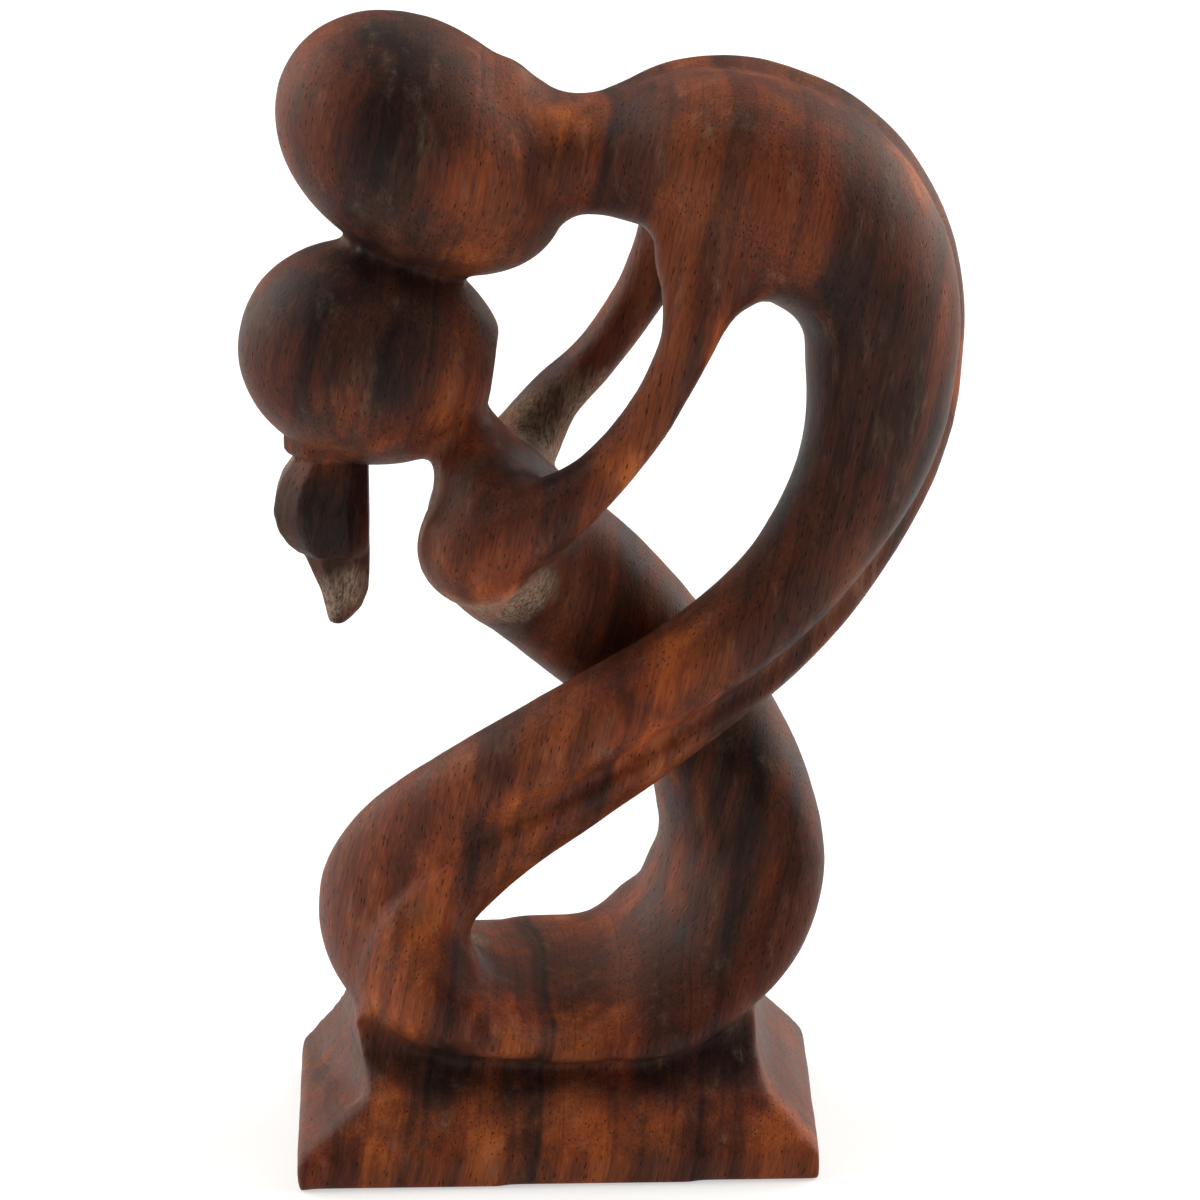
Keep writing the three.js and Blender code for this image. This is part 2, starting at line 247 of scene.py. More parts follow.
class Curve:
    """A smooth centripetal curve through rows of values, read by a share from 0 to 1."""

    SHORTEST = 1e-4

    def __init__(self, rows):
        rows = np.array(rows, float)
        first, last = 2 * rows[0] - rows[1], 2 * rows[-1] - rows[-2]
        self.rows = np.vstack([first, rows, last])
        self.count = len(rows) - 1

    def spans(self, k):
        """Spans of the curve's value before, in and after the piece from row k."""
        steps = np.linalg.norm(np.diff(self.rows[k:k + 4], axis=0), axis=1) ** 0.5
        steps[1] = steps[1] if steps[1] > self.SHORTEST else 1.0
        steps[0] = steps[0] if steps[0] > self.SHORTEST else steps[1]
        steps[2] = steps[2] if steps[2] > self.SHORTEST else steps[1]
        return steps

    def at(self, share):
        """The curve's values at a share of its length, and the way they change there."""
        k = min(int(share * self.count), self.count - 1)
        t = share * self.count - k
        p0, p1, p2, p3 = self.rows[k:k + 4]
        d0, d1, d2 = self.spans(k)
        m1 = ((p1 - p0) / d0 - (p2 - p0) / (d0 + d1) + (p2 - p1) / d1) * d1
        m2 = ((p2 - p1) / d1 - (p3 - p1) / (d1 + d2) + (p3 - p2) / d2) * d1
        bend = -3 * p1 + 3 * p2 - 2 * m1 - m2
        rise = 2 * p1 - 2 * p2 + m1 + m2
        return p1 + m1 * t + bend * t ** 2 + rise * t ** 3, m1 + 2 * bend * t + 3 * rise * t ** 2


def signed_power(value, power):
    """A power that keeps the sign."""
    return math.copysign(abs(value) ** power, value)


def groove_cut(angle, turn, depth):
    """How deep the groove is at an angle around a section whose back has turned."""
    off = (angle - 2 * math.pi if angle > math.pi else angle) + GROOVE_DRIFT * turn
    reach = GROOVE_STEEP if off < 0 else GROOVE_GENTLE
    return depth * max(1 - abs(off) / reach, 0) ** 2


class Limb:
    """A form drawn along a centre line, one ring of corners at a time."""

    def __init__(self, stations):
        """Curves for the centre line, the section's sizes and the groove."""
        self.path = Curve([s[:3] for s in stations])
        self.sizes = Curve([(s[3], s[4], s[5]) for s in stations])
        self.grooves = Curve([(s[6], 0, 0) for s in stations])

    def place_ring(self, corners, order, share):
        """Moves one ring of corners to its cross section on the centre line."""
        centre, ahead = (Vector(v) for v in self.path.at(share))
        half, ratio, degrees = self.sizes.at(share)[0]
        groove = self.grooves.at(share)[0][0]
        turn = math.radians(degrees)
        ahead.normalize()
        thick = half / math.hypot(math.cos(turn), ratio * math.sin(turn))
        leftwards = Vector((-ahead.z, 0, ahead.x)).normalized()
        back = Matrix.Rotation(turn, 3, ahead) @ leftwards
        side = ahead.cross(back).normalized()
        for corner in corners:
            even = corner[order] / len(corners) * 2 * math.pi
            angle = even - CROWDING * math.sin(even)
            cut = groove_cut(angle, turn, groove)
            deep = signed_power(math.cos(angle), 2 / FULLNESS) * thick - cut
            wide = signed_power(math.sin(angle), 2 / FULLNESS) * thick * ratio
            corner.co = (centre + back * deep + side * wide) * MM


def carve_limb(wood, stations, rings_and_sides):
    """Draws a ring of corners out along the stations and closes both ends."""
    rings, sides = rings_and_sides
    order = wood.verts.layers.int["order"]
    limb = Limb(stations)
    corners = bmesh.ops.create_circle(wood, cap_ends=True, segments=sides, radius=MM)["verts"]
    for number, corner in enumerate(corners):
        corner[order] = number
    limb.place_ring(corners, order, 0.0)
    edge = list({e for c in corners for e in c.link_edges})
    for i in range(1, rings + 1):
        drawn = bmesh.ops.extrude_edge_only(wood, edges=edge)["geom"]
        corners = [v for v in drawn if isinstance(v, bmesh.types.BMVert)]
        edge = [e for e in drawn if isinstance(e, bmesh.types.BMEdge)]
        limb.place_ring(corners, order, i / rings)
    bmesh.ops.edgeloop_fill(wood, edges=edge)


def carve_head(wood, form, flats=()):
    """An egg on a tilted axis, with flats cut off its side."""
    x, z, length, height, depth, tilt, taper = form
    around, along = HEAD_SEGMENTS
    ball = bmesh.ops.create_uvsphere(wood, u_segments=around, v_segments=along, radius=1.0)["verts"]
    bmesh.ops.rotate(wood, verts=ball, cent=(0, 0, 0), matrix=Matrix.Rotation(math.pi / 2, 3, "Y"))
    for corner in ball:
        x_share, y_share, z_share = corner.co
        narrow = 1 - taper * x_share
        corner.co = (x_share * length, y_share * depth * narrow, z_share * height * narrow)
    bmesh.ops.rotate(
        wood, verts=ball, cent=(0, 0, 0), matrix=Matrix.Rotation(math.radians(-tilt), 3, "Y")
    )
    bmesh.ops.translate(wood, verts=ball, vec=(x, 0, z))
    bmesh.ops.scale(wood, verts=ball, vec=(MM, MM, MM))
    for at_x, at_z, facing in flats:
        out = Matrix.Rotation(math.radians(-facing), 3, "Y") @ Vector((1, 0, 0))
        whole = {f for v in ball for f in v.link_faces}
        whole |= {e for v in ball for e in v.link_edges}
        cut = bmesh.ops.bisect_plane(
            wood, geom=list(whole) + ball, plane_co=(at_x * MM, 0, at_z * MM), plane_no=out,
            clear_outer=True,
        )
        rim = [e for e in cut["geom_cut"] if isinstance(e, bmesh.types.BMEdge)]
        bmesh.ops.edgeloop_fill(wood, edges=rim)
        ball = [v for v in ball if v.is_valid]
        ball += [v for v in cut["geom_cut"] if isinstance(v, bmesh.types.BMVert)]


def carve_facets(wood, levels):
    """Draws the ponytail's cornered section through its levels and closes both ends."""
    order = wood.verts.layers.int["order"]
    sides = len(TAIL_CORNERS)
    corners = bmesh.ops.create_circle(wood, cap_ends=True, segments=sides, radius=MM)["verts"]
    for number, corner in enumerate(corners):
        corner[order] = number
    edge = list({e for c in corners for e in c.link_edges})
    for level, (z, left, right, depth) in enumerate(levels):
        if level > 0:
            drawn = bmesh.ops.extrude_edge_only(wood, edges=edge)["geom"]
            corners = [v for v in drawn if isinstance(v, bmesh.types.BMVert)]
            edge = [e for e in drawn if isinstance(e, bmesh.types.BMEdge)]
        for corner in corners:
            along, deep = TAIL_CORNERS[corner[order]]
            corner.co = ((left + along * (right - left)) * MM, deep * depth * MM, z * MM)
    bmesh.ops.edgeloop_fill(wood, edges=edge)


def carve_base(wood):
    """Draws the foot's outline up through the levels."""
    block = bmesh.ops.create_grid(wood, x_segments=1, y_segments=1, size=1.0)
    top = block["verts"][0].link_faces[0]
    for level, (z, front, left_front, right_front, back, left_back, right_back) in enumerate(
        BASE_LEVELS
    ):
        if level > 0:
            drawn = bmesh.ops.extrude_face_region(
                wood, geom=[top], use_keep_orig=(level == 1)
            )["geom"]
            top = next(f for f in drawn if isinstance(f, bmesh.types.BMFace))
        for corner in top.verts:
            at_right, at_back = corner.co.x > 0, corner.co.y > 0
            if at_back:
                x, y = (right_back if at_right else left_back), back
            else:
                x, y = (right_front if at_right else left_front), front
            corner.co = (x * MM, (y + BASE_SKEW * x) * MM, z * MM)


def new_piece(name, wood):
    """Makes an object at the origin of what was drawn."""
    bmesh.ops.recalc_face_normals(wood, faces=wood.faces[:])
    mesh = bpy.data.meshes.new(name)
    wood.to_mesh(mesh)
    wood.free()
    piece = bpy.data.objects.new(name, mesh)
    bpy.context.scene.collection.objects.link(piece)
    return piece


def finish_modifiers(piece):
    """Makes what the modifiers show the piece's own mesh."""
    done = bpy.data.meshes.new_from_object(
        piece.evaluated_get(bpy.context.evaluated_depsgraph_get())
    )
    piece.modifiers.clear()
    piece.vertex_groups.clear()
    old = piece.data
    piece.data = done
    bpy.data.meshes.remove(old)
    return piece


def seated_base():
    """The base with the round hollow that the ring of legs lies in."""
    wood = bmesh.new()
    carve_base(wood)
    block = new_piece("block", wood)
    wood = bmesh.new()
    x, z, radius = SEAT
    bmesh.ops.create_cone(
        wood, cap_ends=True, segments=GOUGE_SIDES, radius1=radius * MM, radius2=radius * MM,
        depth=GOUGE_LENGTH,
    )
    bmesh.ops.rotate(
        wood, verts=wood.verts[:], cent=(0, 0, 0), matrix=Matrix.Rotation(math.pi / 2, 3, "X")
    )
    bmesh.ops.translate(wood, verts=wood.verts[:], vec=(x * MM, 0, z * MM))
    gouge = new_piece("gouge", wood)
    cut = block.modifiers.new("seat", "BOOLEAN")
    cut.object = gouge
    cut.operation = "DIFFERENCE"
    cut.solver = "EXACT"
    finish_modifiers(block)
    bpy.data.objects.remove(gouge)
    return block


# Smoothing, as sandpaper does it

def corner_values(mesh, name):
    """One row of three numbers for each corner: its place or its facing."""
    flat = np.empty(len(mesh.vertices) * 3)
    mesh.vertices.foreach_get(name, flat)
    return flat.reshape(-1, 3)


def weigh(piece, name, weights):
    """Makes a vertex group of weights from 0 to 1, in even steps."""
    group = piece.vertex_groups.new(name=name)
    steps = np.rint(weights * WEIGHT_STEPS).astype(int)
    for step in range(1, WEIGHT_STEPS + 1):
        group.add(np.flatnonzero(steps == step).tolist(), step / WEIGHT_STEPS, "REPLACE")
    return group.name


def soften(piece, rounds, weights=None):
    """Smooths the mesh, each corner as strongly as its weight from 0 to 1."""
    soft = piece.modifiers.new("soften", "SMOOTH")
    soft.factor = 0.5
    soft.iterations = rounds
    if weights is not None:
        soft.vertex_group = weigh(piece, "sanded", weights)


def near_places(corners, places):
    """How near each corner is to the listed places, from 0 to each place's own strength."""
    near = np.zeros(len(corners))
    for x, y, z, reach, strength in places:
        away = np.linalg.norm(corners - np.array((x, y, z)) * MM, axis=1) / (reach * MM)
        soft = np.clip(1 - away, 0, 1)
        near = np.maximum(near, strength * soft * soft * (3 - 2 * soft) * JOIN_STRENGTH)
    return np.clip(near, 0, 1)


def fill_joins(piece):
    """Rounds out the hollow lines at the joins and leaves what bulges nearly as it is."""
    before = corner_values(piece.data, "co")
    facing = corner_values(piece.data, "normal")
    soften(piece, FEEL_ROUNDS)
    seen = piece.evaluated_get(bpy.context.evaluated_depsgraph_get())
    after = corner_values(seen.data, "co")
    piece.modifiers.clear()
    outwards = ((after - before) * facing).sum(axis=1) / MM
    hollow = np.clip(FLAT_SHARE + outwards / HOLLOW_DEPTH, BULGE_SHARE, 1)
    soften(piece, JOIN_ROUNDS, near_places(before, JOINS) * hollow)
    finish_modifiers(piece)


def merge_forms(piece, grain):
    """Makes overlapping forms one closed skin, with facets of the given size."""
    merge = piece.modifiers.new("one_block", "REMESH")
    merge.mode = "VOXEL"
    merge.voxel_size = grain
    merge.use_smooth_shade = True
    return finish_modifiers(piece)


def carve_ponytail():
    """The collar, lobe and wedge of the ponytail as one skin, with its corners eased."""
    wood = bmesh.new()
    wood.verts.layers.int.new("order")
    for levels in (COLLAR, LOBE, TAIL_WEDGE):
        carve_facets(wood, levels)
    tail = merge_forms(new_piece("ponytail", wood), TAIL_GRAIN)
    soften(tail, TAIL_ROUNDS)
    return finish_modifiers(tail)


def heights_of(piece):
    """How high each corner stands above the floor, in millimetres."""
    return corner_values(piece.data, "co")[:, 2] / MM


def carve_couple():
    """The whole carving: base, bodies, arms and heads as one skin, and the ponytail joined on."""
    block = seated_base()
    wood = bmesh.new()
    wood.verts.layers.int.new("order")
    wood.from_mesh(block.data)
    bpy.data.objects.remove(block)
    carve_limb(wood, TALL_BODY, TALL_BODY_RINGS)
    carve_limb(wood, SMALL_BODY, SMALL_BODY_RINGS)
    carve_limb(wood, NEAR_ARM, NEAR_ARM_RINGS)
    carve_limb(wood, FAR_ARM, FAR_ARM_RINGS)
    carve_head(wood, TALL_HEAD)
    carve_head(wood, SMALL_HEAD, HEAD_FLATS)
    couple = merge_forms(new_piece("couple", wood), BODY_GRAIN)
    fill_joins(couple)
    soften(couple, FOOT_ROUNDS, np.clip((FOOT_TOP - heights_of(couple)) / FOOT_FADE, 0, 1))
    finish_modifiers(couple)
    soften(couple, FIGURE_ROUNDS)
    waves = couple.modifiers.new("knife_waves", "DISPLACE")
    waves.texture = bpy.data.textures.new("knife_waves", "CLOUDS")
    waves.texture.noise_scale = WAVE_SIZE
    waves.texture_coords = "LOCAL"
    waves.strength = WAVE_HEIGHT
    waves.mid_level = WAVE_MIDDLE
    off_floor = np.clip(heights_of(couple) / WAVES_START, 0, 1)
    waves.vertex_group = weigh(couple, "off_floor", off_floor)
    finish_modifiers(couple)
    tail = carve_ponytail()
    bind = couple.modifiers.new("ponytail", "BOOLEAN")
    bind.object = tail
    bind.operation = "UNION"
    bind.solver = "EXACT"
    finish_modifiers(couple)
    bpy.data.objects.remove(tail)
    return couple


couple = carve_couple()

# The wood. Its effects are node groups on a place in millimetres. For bands, fibres and pores
# that place is turned, so that its Z runs along the grain.

# How far the grain leans from upright.
GRAIN_LEAN = math.radians(-12)
# Tone of the growth bands across the block, from dark 0 to light 1: millimetres, tone.
BAND_TONES = [
    (-84, 0.55), (-76, 0.45), (-71, 0.2), (-66, 0.08), (-59, 0.1), (-55, 0.3), (-50, 0.5),
    (-45, 0.6), (-41, 0.42), (-38, 0.58), (-33, 0.72), (-31.2, 0.66), (-30, 0.1), (-26, 0.16),
    (-24, 0.46), (-22.6, 0.62), (-21.8, 0.36), (-20.8, 0.62), (-16, 0.68), (-12.2, 0.54),
    (-10.8, 0.2), (-9.4, 0.24), (-7.8, 0.56), (-2, 0.64), (1, 0.5), (3, 0.62), (6, 0.52),
    (10, 0.22), (15, 0.28), (17, 0.18), (21, 0.22), (24, 0.44), (27, 0.28), (29, 0.38),
    (33, 0.28), (38, 0.5), (45, 0.44), (56, 0.52),
]
# The middle tone that the growth bands' contrast leaves as it is.
MIDDLE_TONE = 0.46
# Warm orange heartwood shows at these places: x, y, z and how far around.
WARM_SPOTS = [
    (-12, -15, 170, 15), (0, -8, 182, 7), (26, -18, 148, 8),
    (-36, -13, 130, 15), (-14, -14, 134, 11), (-8, -21, 107, 13), (10, -20, 127, 6),
    (19, -23, 92, 13), (11, -22, 77, 14), (-10, -24, 64, 11), (-19, -22, 46, 22),
    (-24, -18, 30, 15), (18, -6, 58, 18), (2, -27, 24, 20), (-22, -27, 7, 20),
    (10, -27, 8, 22), (38, -27, 6, 16), (67, 0, 138, 9), (20, 4, 48, 16),
    (58, -8, 172, 10), (30, 24, 150, 14), (-20, 24, 60, 14), (34, 22, 40, 12),
]
# Dark heartwood shows at these places, on both heads and down the back. The two at the smaller neck
# are painted shade in the hollow between the neck and the shoulder.
DARK_SPOTS = [
    (-38, -10, 148, 26), (-31, -12, 182, 20), (-30, -14, 196, 14), (-7, -11, 119, 15),
    (-2, -14, 114, 11), (53, -14, 128, 24), (46, -16, 152, 20), (33, 0, 62, 24), (-42, -5, 114, 12),
    (-8, 12, 184, 20), (24, 20, 170, 22), (-34, 14, 142, 22), (40, 16, 110, 22), (-20, 18, 40, 20),
]
# Painted shade: darker tone in the hollow under the ring of legs and along the bottom of the
# groove, where shade falls.
PAINTED_SHADE_SPOTS = [
    (-29, -18, 21, 9), (-18, -19, 19, 10), (-6, -19, 18, 10), (6, -19, 18, 10), (18, -19, 19, 10),
    (29, -18, 21, 9), (-24, 21, 20, 11), (-8, 21, 19, 11), (8, 21, 19, 11), (24, 21, 20, 11),
    (48.8, -14, 102.6, 3.4), (45, -17, 98.5, 3.8), (40.9, -19, 94.3, 3.8), (36, -21, 89.5, 3.8),
    (31, -22, 85.7, 3.8), (26, -23, 83, 3.8), (20.5, -24, 80.5, 3.8), (15, -25, 78, 3.8),
    (9.5, -25, 75.3, 3.8), (3.9, -25, 72.6, 3.4),
]
# Paler, rougher places: bare wood that the oil didn't soak into, and painted sheen on top of the
# far arm (the three at y 11 to 14) and on the strip below the groove (the last three).
BARE_AND_SHEEN_SPOTS = [
    (-14, -13, 99, 9), (-9, -15, 99, 9), (-4, -16, 102, 8), (-21, -9, 121, 5), (-23, -11, 114, 4.5),
    (-5, 11, 127, 9), (0, 12, 122, 8), (5, 14, 130, 7), (-46, 0, 123, 4),
    (-40.5, -4, 97, 7), (-35, -4, 101, 5), (-14, 2, 36, 5), (-27, -10, 186, 5),
    (38, -21, 90, 4), (31, -24, 84.5, 4.5), (24, -25, 80, 4),
]


def add_node(tree, kind, inputs=None, **settings):
    """Adds a node, sets its options, and sets or links its inputs by name or number."""
    node = tree.nodes.new(kind)
    for name, value in settings.items():
        setattr(node, name, value)
    for name, value in (inputs or {}).items():
        if isinstance(value, bpy.types.NodeSocket):
            tree.links.new(value, node.inputs[name])
        else:
            node.inputs[name].default_value = value
    return node


def maths(tree, operation, *values, clamp=False):
    """The result of one sum on sockets or numbers."""
    inputs = dict(enumerate(values))
    node = add_node(tree, "ShaderNodeMath", inputs, operation=operation, use_clamp=clamp)
    return node.outputs["Value"]


def ease(tree, value, low, high, start=0.0, end=1.0):
    """Moves a value smoothly from one range to another."""
    inputs = {"Value": value, "From Min": low, "From Max": high, "To Min": start, "To Max": end}
    node = add_node(tree, "ShaderNodeMapRange", inputs, interpolation_type="SMOOTHSTEP")
    return node.outputs["Result"]


def stretch(tree, place, scale):
    """Scales a place along its three axes."""
    inputs = {0: place, 1: scale}
    return add_node(tree, "ShaderNodeVectorMath", inputs, operation="MULTIPLY").outputs["Vector"]


def cloud(tree, place, scale, detail=2.0, rough=0.5):
    """A noise of soft blots, from 0 to 1."""
    inputs = {"Vector": place, "Scale": scale, "Detail": detail, "Roughness": rough}
    return add_node(tree, "ShaderNodeTexNoise", inputs).outputs["Fac"]


def grain_cloud(tree, place, along, **values):
    """A noise drawn out along the grain, which is how wood changes."""
    return cloud(tree, stretch(tree, place, (1.0, 1.0, along)), **values)


def about_half(tree, value, width):
    """How far a value from 0 to 1 is from one half, times a width."""
    return maths(tree, "MULTIPLY", maths(tree, "SUBTRACT", value, 0.5), width)


def start_group(name, inputs, outputs):
    """A shader node group with a Place input, named values, and value outputs."""
    group = bpy.data.node_groups.new(name, "ShaderNodeTree")
    group.interface.new_socket("Place", in_out="INPUT", socket_type="NodeSocketVector")
    for socket, value in inputs.items():
        made = group.interface.new_socket(socket, in_out="INPUT", socket_type="NodeSocketFloat")
        made.default_value = value
    for socket in outputs:
        group.interface.new_socket(socket, in_out="OUTPUT", socket_type="NodeSocketFloat")
    source = group.nodes.new("NodeGroupInput")
    result = group.nodes.new("NodeGroupOutput")
    return group, source.outputs, result.inputs


def growth_bands():
    """Broad and fine growth bands, wandering a little along the trunk."""
    group, given, result = start_group(
        "growth_bands",
        {"Wander": 6.0, "Bow": 0.12, "Contrast": 0.46, "Fine Lines": 0.28, "Dark Lines": 0.11},
        ["Tone"],
    )
    slow = grain_cloud(group, given["Place"], along=0.25, scale=0.045)
    split = add_node(group, "ShaderNodeSeparateXYZ", {0: given["Place"]}).outputs
    drift = about_half(group, slow, given["Wander"])
    bowed = maths(group, "MULTIPLY_ADD", split["Y"], given["Bow"], drift)
    across = maths(group, "ADD", split["X"], bowed)
    first, last = BAND_TONES[0][0], BAND_TONES[-1][0]
    from_first = maths(group, "SUBTRACT", across, float(first))
    share = maths(group, "DIVIDE", from_first, float(last - first))
    tones = add_node(group, "ShaderNodeFloatCurve", {"Value": share})
    line = tones.mapping.curves[0].points
    line[0].location = (0, BAND_TONES[0][1])
    line[1].location = (1, BAND_TONES[-1][1])
    for x, tone in BAND_TONES[1:-1]:
        line.new((x - first) / (last - first), tone)
    tones.mapping.update()
    along = maths(group, "MULTIPLY", split["Z"], 0.01)
    sheet = add_node(group, "ShaderNodeCombineXYZ", {"X": across, "Z": along}).outputs["Vector"]
    fine = cloud(group, sheet, scale=0.55, detail=3.0, rough=0.65)
    change = about_half(group, fine, given["Fine Lines"])
    ring_edges = cloud(group, sheet, scale=0.21, detail=1.0)
    edge = maths(group, "ABSOLUTE", maths(group, "SUBTRACT", ring_edges, 0.5))
    dark_line = ease(group, edge, 0.0, 0.02, given["Dark Lines"], 0.0)
    off_middle = maths(group, "SUBTRACT", tones.outputs["Value"], MIDDLE_TONE)
    broad = maths(group, "MULTIPLY_ADD", off_middle, given["Contrast"], MIDDLE_TONE)
    tone = maths(group, "SUBTRACT", maths(group, "ADD", broad, change), dark_line)
    group.links.new(tone, result["Tone"])
    return group


def fibre_streaks():
    """Fine streaks along the grain, and broader ribbons across which they change."""
    group, given, result = start_group("fibre_streaks", {"Width": 0.38}, ["Streak", "Ribbon"])
    scale = maths(group, "DIVIDE", 1.0, given["Width"])
    thin = grain_cloud(group, given["Place"], along=0.08, scale=scale, detail=3.0, rough=0.65)
    ribbon = grain_cloud(group, given["Place"], along=0.12, scale=0.16, detail=3.0, rough=0.55)
    group.links.new(ease(group, thin, 0.3, 0.7), result["Streak"])
    group.links.new(ease(group, ribbon, 0.3, 0.7), result["Ribbon"])
    return group


def open_pores():
    """Dark open vessels: dashes along the grain, dots where it is cut across."""
    group, given, result = start_group(
        "open_pores", {"Spacing": 0.62, "Length": 3.4, "Share": 0.62}, ["Pore"]
    )
    wide = maths(group, "DIVIDE", 1.0, given["Spacing"])
    long = maths(group, "DIVIDE", 1.0, given["Length"])
    scale = add_node(group, "ShaderNodeCombineXYZ", {"X": wide, "Y": wide, "Z": long})
    bent = cloud(group, stretch(group, given["Place"], (0.3, 0.3, 0.12)), scale=1.0, detail=1.0)
    shift = add_node(group, "ShaderNodeCombineXYZ", {"X": bent, "Y": bent})
    moved = add_node(group, "ShaderNodeVectorMath", {0: given["Place"], 1: shift.outputs["Vector"]})
    spots = add_node(
        group, "ShaderNodeTexVoronoi",
        {"Vector": stretch(group, moved.outputs["Vector"], scale.outputs["Vector"]), "Scale": 1.0},
    )
    near = ease(group, spots.outputs["Distance"], 0.13, 0.25, 1.0, 0.0)
    chance = add_node(group, "ShaderNodeSeparateColor", {"Color": spots.outputs["Color"]})
    there = maths(group, "LESS_THAN", chance.outputs["Red"], given["Share"])
    group.links.new(maths(group, "MULTIPLY", near, there), result["Pore"])
    return group


def spots_group(name, spots):
    """How near a place is to any of the listed spots, from 0 to 1, with a ragged edge."""
    group, given, result = start_group(name, {"Ragged": 0.6}, ["Near"])
    rough = grain_cloud(group, given["Place"], along=0.22, scale=0.28, detail=3.0, rough=0.6)
    ragged = about_half(group, rough, given["Ragged"])
    near = 0.0
    for x, y, z, reach in spots:
        away = add_node(
            group, "ShaderNodeVectorMath", {0: given["Place"], 1: (x, y, z)}, operation="DISTANCE"
        )
        share = maths(group, "DIVIDE", away.outputs["Value"], float(reach))
        near = maths(group, "MAXIMUM", near, maths(group, "SUBTRACT", 1.0, share))
    group.links.new(ease(group, maths(group, "ADD", near, ragged), 0.0, 0.75), result["Near"])
    return group


def place_group(tree, group, place, **values):
    """Places a node group in a material with its own values, and returns its outputs."""
    node = add_node(tree, "ShaderNodeGroup", node_tree=group)
    tree.links.new(place, node.inputs["Place"])
    for name, value in values.items():
        node.inputs[name.replace("_", " ")].default_value = value
    return node.outputs


def mix_colour(tree, share, first, second, blend="MIX"):
    """Mixes two colours by a share."""
    node = add_node(tree, "ShaderNodeMix", data_type="RGBA", blend_type=blend)
    for number, value in ((0, share), (6, first), (7, second)):
        if isinstance(value, bpy.types.NodeSocket):
            tree.links.new(value, node.inputs[number])
        else:
            node.inputs[number].default_value = value
    return node.outputs[2]


# Colours of the wood from its darkest bands to its warmest heartwood: tone, colour.
WOOD_COLOURS = [
    (0.0, (0.015, 0.0084, 0.0070, 1)),
    (0.25, (0.040, 0.0160, 0.0108, 1)),
    (0.5, (0.095, 0.0275, 0.0130, 1)),
    (0.75, (0.20, 0.050, 0.016, 1)),
    (1.0, (0.35, 0.093, 0.021, 1)),
]
# A tint that comes and goes slowly over the wood, the open pores, and the bare places with the
# painted sheen.
MAROON_TINT = (0.92, 0.8, 0.86, 1)
PORE_COLOUR = (0.010, 0.005, 0.004, 1)
BARE_AND_SHEEN_COLOUR = (0.34, 0.25, 0.18, 1)
# How much of the tone each effect changes. Warm and dark places change it by their first value,
# and by the second times the ribbons.
STREAK_TONE = 0.2
RIBBON_TONE = 0.24
WARM_TONE = (0.2, 0.18)
DARK_TONE = (-0.26, 0.14)
# How much the painted shade under the ring of legs and in the groove darkens the tone.
PAINTED_SHADE_TONE = -0.3
PORE_SHARE = 0.85
# Roughness of the oiled wood, and what ribbons, pores and the bare places with the painted sheen
# add to it.
OILED_ROUGHNESS = 0.46
RIBBON_ROUGHNESS = 0.1
PORE_ROUGHNESS = 0.25
BARE_AND_SHEEN_ROUGHNESS = 0.35
# Height of streaks, sanding marks and pores in the surface.
STREAK_RELIEF = 0.25
SANDING_RELIEF = 0.5
PORE_RELIEF = 0.9


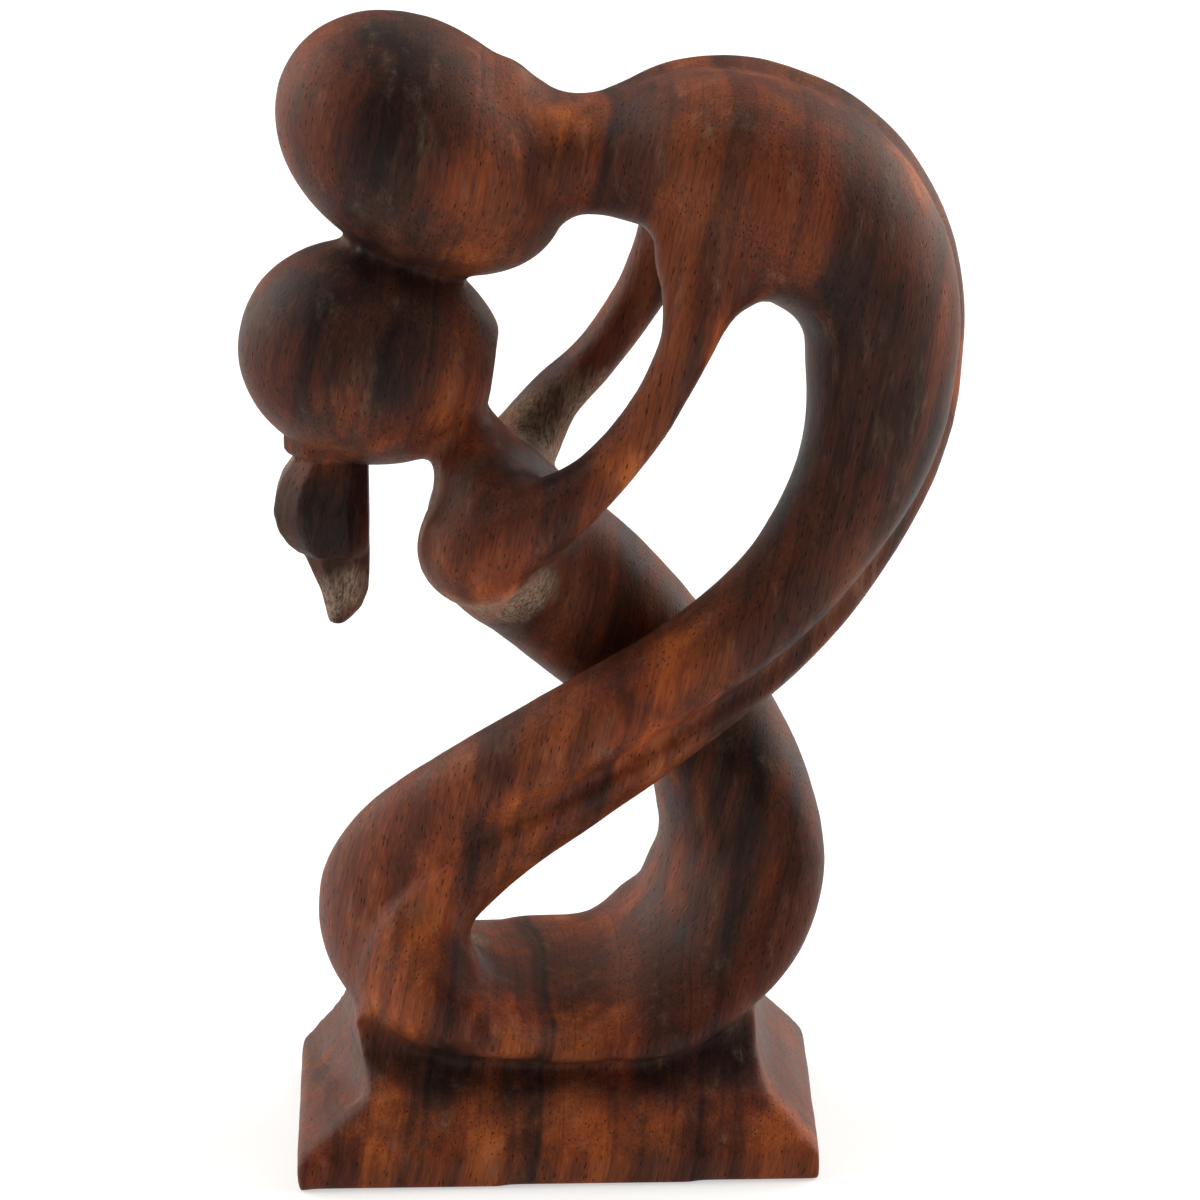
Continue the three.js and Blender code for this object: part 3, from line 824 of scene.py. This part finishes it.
def dark_hardwood():
    """Oiled dark hardwood with growth bands, streaks, open pores and bare places, and with painted
    sheen and painted shade.
    """
    look = bpy.data.materials.new("dark_hardwood")
    look.use_nodes = True
    tree = look.node_tree
    shader = tree.nodes["Principled BSDF"]
    object_place = add_node(tree, "ShaderNodeTexCoord").outputs["Object"]
    turned = add_node(tree, "ShaderNodeMapping", {"Vector": object_place})
    turned.inputs["Rotation"].default_value = (0, GRAIN_LEAN, 0)
    turned.inputs["Scale"].default_value = (1000, 1000, 1000)
    place = turned.outputs["Vector"]
    upright = stretch(tree, object_place, (1000, 1000, 1000))
    bands = place_group(tree, growth_bands(), place)
    fibres = place_group(tree, fibre_streaks(), place)
    pores = place_group(tree, open_pores(), place)
    warm = place_group(tree, spots_group("warm_places", WARM_SPOTS), upright, Ragged=1.3)["Near"]
    # Bare wood, and painted sheen on top of the far arm and on the strip below the groove.
    bare_and_sheen = place_group(tree, spots_group("bare_and_sheen_places", BARE_AND_SHEEN_SPOTS), upright, Ragged=1.1)["Near"]
    # Dark heartwood, and painted shade in the hollow at the smaller neck.
    dark = place_group(tree, spots_group("dark_places", DARK_SPOTS), upright, Ragged=1.0)["Near"]
    # Painted shade under the ring of legs and along the bottom of the groove.
    painted_shade = place_group(tree, spots_group("painted_shade_places", PAINTED_SHADE_SPOTS), upright)["Near"]
    maroon = ease(tree, grain_cloud(tree, place, along=0.4, scale=0.06), 0.4, 0.65)

    # The tone of the wood, which its colours follow.
    streaks = maths(tree, "MULTIPLY_ADD", fibres["Streak"], STREAK_TONE, -STREAK_TONE / 2)
    ribbons = maths(tree, "MULTIPLY_ADD", fibres["Ribbon"], RIBBON_TONE, -RIBBON_TONE / 2)
    tone = maths(tree, "ADD", bands["Tone"], maths(tree, "ADD", streaks, ribbons))
    warmer = maths(tree, "MULTIPLY_ADD", fibres["Ribbon"], WARM_TONE[1], WARM_TONE[0])
    darker = maths(tree, "MULTIPLY_ADD", fibres["Ribbon"], DARK_TONE[1], DARK_TONE[0])
    glow = maths(tree, "MULTIPLY", warm, warmer)
    # Dark heartwood, and painted shade in the hollow between the smaller neck and the shoulder.
    aged_and_shade = maths(tree, "MULTIPLY", dark, darker)
    heartwood_and_shade = maths(tree, "ADD", glow, aged_and_shade)
    # The painted shade under the ring of legs and in the groove darkens the tone here.
    shade = maths(tree, "MULTIPLY_ADD", painted_shade, PAINTED_SHADE_TONE, heartwood_and_shade)
    whole_tone = maths(tree, "ADD", tone, shade, clamp=True)

    ramp = add_node(tree, "ShaderNodeValToRGB", {"Fac": whole_tone})
    stops = ramp.color_ramp.elements
    stops.remove(stops[-1])
    for number, (at, colour) in enumerate(WOOD_COLOURS):
        stop = stops.new(at) if number else stops[0]
        stop.position = at
        stop.color = colour
    pore_share = maths(tree, "MULTIPLY", pores["Pore"], PORE_SHARE)
    redder = mix_colour(tree, maroon, ramp.outputs["Color"], MAROON_TINT, "MULTIPLY")
    veined = mix_colour(tree, pore_share, redder, PORE_COLOUR)
    speckle = grain_cloud(tree, place, along=0.2, scale=2.3, detail=4.0, rough=0.75)
    bare_and_sheen_share = maths(tree, "MULTIPLY", bare_and_sheen, ease(tree, speckle, 0.35, 0.62, 0.12, 0.75))
    # Bare places and the painted sheen lighten the colour here.
    tree.links.new(mix_colour(tree, bare_and_sheen_share, veined, BARE_AND_SHEEN_COLOUR), shader.inputs["Base Color"])
    shader.inputs["Specular IOR Level"].default_value = 0.1

    worn = maths(tree, "MULTIPLY_ADD", fibres["Ribbon"], RIBBON_ROUGHNESS, OILED_ROUGHNESS)
    porous = maths(tree, "MULTIPLY_ADD", pores["Pore"], PORE_ROUGHNESS, worn)
    dull = maths(tree, "MULTIPLY_ADD", bare_and_sheen, BARE_AND_SHEEN_ROUGHNESS, porous)
    tree.links.new(dull, shader.inputs["Roughness"])

    sanding = grain_cloud(tree, place, along=0.3, scale=0.9, detail=3.0, rough=0.6)
    sanded = maths(tree, "MULTIPLY", sanding, SANDING_RELIEF)
    raised = maths(tree, "MULTIPLY_ADD", fibres["Streak"], STREAK_RELIEF, sanded)
    furrow = maths(tree, "SUBTRACT", raised, maths(tree, "MULTIPLY", pores["Pore"], PORE_RELIEF))
    relief = {"Height": furrow, "Strength": 0.6, "Distance": 0.00012}
    bump = add_node(tree, "ShaderNodeBump", relief)
    tree.links.new(bump.outputs["Normal"], shader.inputs["Normal"])
    return look


couple.data.materials.clear()
couple.data.materials.append(dark_hardwood())
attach(couple, "root")
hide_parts("embracing_couple")


# Floor and light: a white light tent, bright beside the figure and dim in front.

TENT_LIGHT = (1.0, 0.965, 0.91, 1)
PLAIN_WHITE = (1.0, 1.0, 1.0, 1)
# Strength of the light from the right, the left and straight above, and of the tent's even light
# from everywhere lower down.
RIGHT_LIGHT = 5.5
LEFT_LIGHT = 4.0
ABOVE_LIGHT = 1.6
EVEN_LIGHT = 0.3
# How bright the floor's card is, and how much it glows.
CARD_TONE = (0.48, 0.48, 0.48, 1)
CARD_GLOW = 0.53


def white_floor():
    """A wide sheet of pale card."""
    table = bmesh.new()
    bmesh.ops.create_grid(table, x_segments=1, y_segments=1, size=4.0)
    floor = new_piece("floor", table)
    card = bpy.data.materials.new("white_card")
    card.use_nodes = True
    paper = card.node_tree.nodes["Principled BSDF"]
    paper.inputs["Base Color"].default_value = CARD_TONE
    paper.inputs["Roughness"].default_value = 0.9
    paper.inputs["Specular IOR Level"].default_value = 0.1
    paper.inputs["Emission Color"].default_value = PLAIN_WHITE
    paper.inputs["Emission Strength"].default_value = CARD_GLOW
    floor.data.materials.append(card)


def light_tent():
    """Light by direction, dim where the camera stands. What is seen past the figure is white."""
    tent = bpy.data.worlds.new("light_tent")
    tent.use_nodes = True
    tree = tent.node_tree
    shine = tree.nodes["Background"]
    facing = add_node(tree, "ShaderNodeTexCoord").outputs["Generated"]
    split = add_node(tree, "ShaderNodeSeparateXYZ", {0: facing}).outputs
    around = ease(tree, split["Y"], -0.65, 0.3, 0.0, 1.0)
    from_right = ease(tree, split["X"], 0.3, 0.9, 0.0, RIGHT_LIGHT)
    high = ease(tree, split["Z"], -0.3, 0.4, 0.35, 1.4)
    leftwards = ease(tree, split["X"], -0.35, -0.9, 0.0, LEFT_LIGHT)
    from_left = maths(tree, "MULTIPLY", high, leftwards)
    from_above = ease(tree, split["Z"], 0.3, 0.95, EVEN_LIGHT, ABOVE_LIGHT)
    sides = maths(tree, "ADD", maths(tree, "ADD", from_right, from_left), from_above)
    lit = maths(tree, "MULTIPLY", around, sides)
    straight = add_node(tree, "ShaderNodeLightPath").outputs["Is Camera Ray"]
    tree.links.new(mix_colour(tree, straight, TENT_LIGHT, PLAIN_WHITE), shine.inputs["Color"])
    tree.links.new(maths(tree, "MAXIMUM", lit, straight), shine.inputs["Strength"])
    bpy.context.scene.world = tent


white_floor()
light_tent()
bpy.context.scene.view_settings.view_transform = "Standard"
